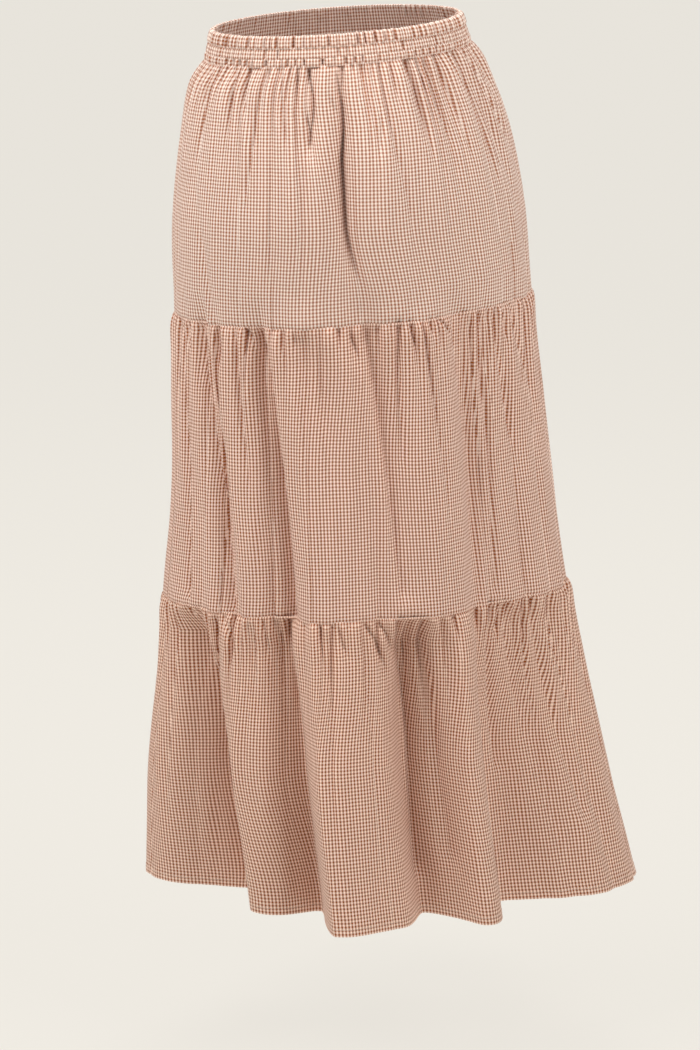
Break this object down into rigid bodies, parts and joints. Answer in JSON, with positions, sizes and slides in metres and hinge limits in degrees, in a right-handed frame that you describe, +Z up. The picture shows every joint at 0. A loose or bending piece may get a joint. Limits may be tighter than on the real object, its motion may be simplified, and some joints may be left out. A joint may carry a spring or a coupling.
{
  "type": "tiered ruffle skirt",
  "caption": "Long tiered skirt in small woven check: an elastic waistband over gathered tiers, hollow, open at waist and hem, in its worn pose.",
  "frame": {"origin": "middle of the waist opening, level with the top edge of the waistband, where the wearer's waist holds the skirt", "axes": "+Z up; the wearer faces -Y, so the skirt's back is at +Y and the wearer's left side at +X"},
  "size_m": [0.5397, 0.412, 0.9369],
  "materials": {
    "waistband": "matte cotton, small brown and white check, ruched on elastic",
    "tier1": "matte cotton, small brown and white check",
    "tier2": "matte cotton, small brown and white check",
    "tier3": "matte cotton, small brown and white check"
  },
  "bodies": {
    "root": {"waistband_back": "waistband", "waistband_front": "waistband", "tier1_back": "tier1", "tier1_front": "tier1", "tier2_back": "tier2", "tier2_front": "tier2", "tier3_back": "tier3", "tier3_front": "tier3"}
  },
  "joints": []
}
